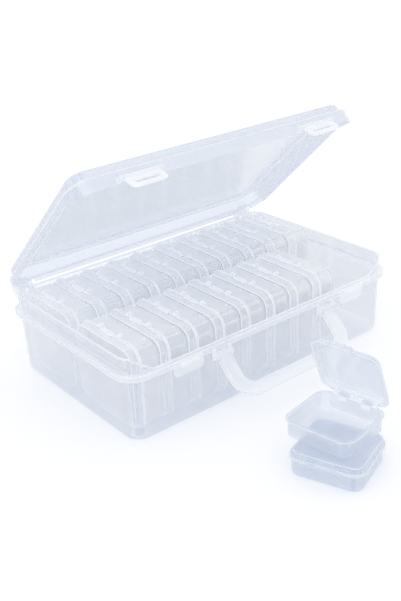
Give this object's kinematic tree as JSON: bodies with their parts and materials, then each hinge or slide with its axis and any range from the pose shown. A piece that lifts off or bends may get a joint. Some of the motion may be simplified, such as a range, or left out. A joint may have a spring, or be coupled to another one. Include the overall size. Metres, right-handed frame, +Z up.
{
  "type": "bead storage box",
  "caption": "Clear hinged storage case with latches and carry handle, filled with small hinged bead boxes standing on edge; two loose bead boxes beside it.",
  "frame": {"origin": "middle of the underside of the case tray", "axes": "+Z up; X along the long side of the case; the front with the latches and the handle faces -Y, the lid hinge is towards +Y"},
  "size_m": [0.2264, 0.2604, 0.1574],
  "materials": {
    "case_clear": "clear polypropylene, slightly milky, glossy",
    "case_lid_clear": "clear polypropylene, slightly milky, glossy",
    "latch_milky": "milky clear polypropylene, glossy",
    "handle_milky": "milky clear polypropylene, glossy",
    "box_tray_clear": "clear polypropylene, glossy",
    "box_lid_clear": "clear polypropylene, glossy"
  },
  "bodies": {
    "case": {"case_tray": "case_clear"},
    "lid": {"case_lid": "case_lid_clear"},
    "flap_left": {"latch_flap_left": "latch_milky"},
    "flap_right": {"latch_flap_right": "latch_milky"},
    "handle": {"handle": "handle_milky"},
    "back_box_01": {"back_box_01_tray": "box_tray_clear", "back_box_01_lid": "box_lid_clear"},
    "back_box_02": {"back_box_02_tray": "box_tray_clear", "back_box_02_lid": "box_lid_clear"},
    "back_box_03": {"back_box_03_tray": "box_tray_clear", "back_box_03_lid": "box_lid_clear"},
    "back_box_04": {"back_box_04_tray": "box_tray_clear", "back_box_04_lid": "box_lid_clear"},
    "back_box_05": {"back_box_05_tray": "box_tray_clear", "back_box_05_lid": "box_lid_clear"},
    "back_box_06": {"back_box_06_tray": "box_tray_clear", "back_box_06_lid": "box_lid_clear"},
    "back_box_07": {"back_box_07_tray": "box_tray_clear", "back_box_07_lid": "box_lid_clear"},
    "back_box_08": {"back_box_08_tray": "box_tray_clear", "back_box_08_lid": "box_lid_clear"},
    "back_box_09": {"back_box_09_tray": "box_tray_clear", "back_box_09_lid": "box_lid_clear"},
    "back_box_10": {"back_box_10_tray": "box_tray_clear", "back_box_10_lid": "box_lid_clear"},
    "front_box_01": {"front_box_01_tray": "box_tray_clear", "front_box_01_lid": "box_lid_clear"},
    "front_box_02": {"front_box_02_tray": "box_tray_clear", "front_box_02_lid": "box_lid_clear"},
    "front_box_03": {"front_box_03_tray": "box_tray_clear", "front_box_03_lid": "box_lid_clear"},
    "front_box_04": {"front_box_04_tray": "box_tray_clear", "front_box_04_lid": "box_lid_clear"},
    "front_box_05": {"front_box_05_tray": "box_tray_clear", "front_box_05_lid": "box_lid_clear"},
    "front_box_06": {"front_box_06_tray": "box_tray_clear", "front_box_06_lid": "box_lid_clear"},
    "front_box_07": {"front_box_07_tray": "box_tray_clear", "front_box_07_lid": "box_lid_clear"},
    "front_box_08": {"front_box_08_tray": "box_tray_clear", "front_box_08_lid": "box_lid_clear"},
    "loose_shut": {"loose_shut_tray": "box_tray_clear", "loose_shut_lid": "box_lid_clear"},
    "loose_open": {"loose_open_tray": "box_tray_clear"},
    "loose_open_lid": {"loose_open_lid": "box_lid_clear"}
  },
  "joints": [
    {"name": "lid_hinge", "type": "hinge", "parent": "case", "child": "lid", "pos_m": [0, 0.07269, 0.057], "axis": [-1, 0, 0], "range_deg": [-43, 62]},
    {"name": "flap_left_hinge", "type": "hinge", "parent": "lid", "child": "flap_left", "pos_m": [-0.07, -0.03721, 0.15279], "axis": [-1, 0, 0], "range_deg": [-30, 70]},
    {"name": "flap_right_hinge", "type": "hinge", "parent": "lid", "child": "flap_right", "pos_m": [0.07, -0.03721, 0.15279], "axis": [-1, 0, 0], "range_deg": [-30, 70]},
    {"name": "handle_hinge", "type": "hinge", "parent": "case", "child": "handle", "pos_m": [0, -0.07221, 0.0406], "axis": [-1, 0, 0], "range_deg": [-45, 70]},
    {"name": "back_box_01_lift", "type": "slide", "parent": "case", "child": "back_box_01", "axis": [0, 0, 1], "range_m": [0, 0.012]},
    {"name": "back_box_02_lift", "type": "slide", "parent": "case", "child": "back_box_02", "axis": [0, 0, 1], "range_m": [0, 0.012]},
    {"name": "back_box_03_lift", "type": "slide", "parent": "case", "child": "back_box_03", "axis": [0, 0, 1], "range_m": [0, 0.012]},
    {"name": "back_box_04_lift", "type": "slide", "parent": "case", "child": "back_box_04", "axis": [0, 0, 1], "range_m": [0, 0.012]},
    {"name": "back_box_05_lift", "type": "slide", "parent": "case", "child": "back_box_05", "axis": [0, 0, 1], "range_m": [0, 0.012]},
    {"name": "back_box_06_lift", "type": "slide", "parent": "case", "child": "back_box_06", "axis": [0, 0, 1], "range_m": [0, 0.012]},
    {"name": "back_box_07_lift", "type": "slide", "parent": "case", "child": "back_box_07", "axis": [0, 0, 1], "range_m": [0, 0.012]},
    {"name": "back_box_08_lift", "type": "slide", "parent": "case", "child": "back_box_08", "axis": [0, 0, 1], "range_m": [0, 0.012]},
    {"name": "back_box_09_lift", "type": "slide", "parent": "case", "child": "back_box_09", "axis": [0, 0, 1], "range_m": [0, 0.012]},
    {"name": "back_box_10_lift", "type": "slide", "parent": "case", "child": "back_box_10", "axis": [0, 0, 1], "range_m": [0, 0.012]},
    {"name": "front_box_01_lift", "type": "slide", "parent": "case", "child": "front_box_01", "axis": [0, 0, 1], "range_m": [0, 0.055]},
    {"name": "front_box_02_lift", "type": "slide", "parent": "case", "child": "front_box_02", "axis": [0, 0, 1], "range_m": [0, 0.055]},
    {"name": "front_box_03_lift", "type": "slide", "parent": "case", "child": "front_box_03", "axis": [0, 0, 1], "range_m": [0, 0.055]},
    {"name": "front_box_04_lift", "type": "slide", "parent": "case", "child": "front_box_04", "axis": [0, 0, 1], "range_m": [0, 0.055]},
    {"name": "front_box_05_lift", "type": "slide", "parent": "case", "child": "front_box_05", "axis": [0, 0, 1], "range_m": [0, 0.055]},
    {"name": "front_box_06_lift", "type": "slide", "parent": "case", "child": "front_box_06", "axis": [0, 0, 1], "range_m": [0, 0.055]},
    {"name": "front_box_07_lift", "type": "slide", "parent": "case", "child": "front_box_07", "axis": [0, 0, 1], "range_m": [0, 0.055]},
    {"name": "front_box_08_lift", "type": "slide", "parent": "case", "child": "front_box_08", "axis": [0, 0, 1], "range_m": [0, 0.055]},
    {"name": "loose_shut_lift", "type": "slide", "parent": "case", "child": "loose_shut", "axis": [0, 0, 1], "range_m": [0, 0.05]},
    {"name": "loose_open_lift", "type": "slide", "parent": "loose_shut", "child": "loose_open", "axis": [0, 0, 1], "range_m": [0, 0.05]},
    {"name": "loose_open_lid_hinge", "type": "hinge", "parent": "loose_open", "child": "loose_open_lid", "pos_m": [-0.00926, -0.14773, 0.0271], "axis": [-0.1702, 0.9854, 0], "range_deg": [-64, 40]}
  ]
}
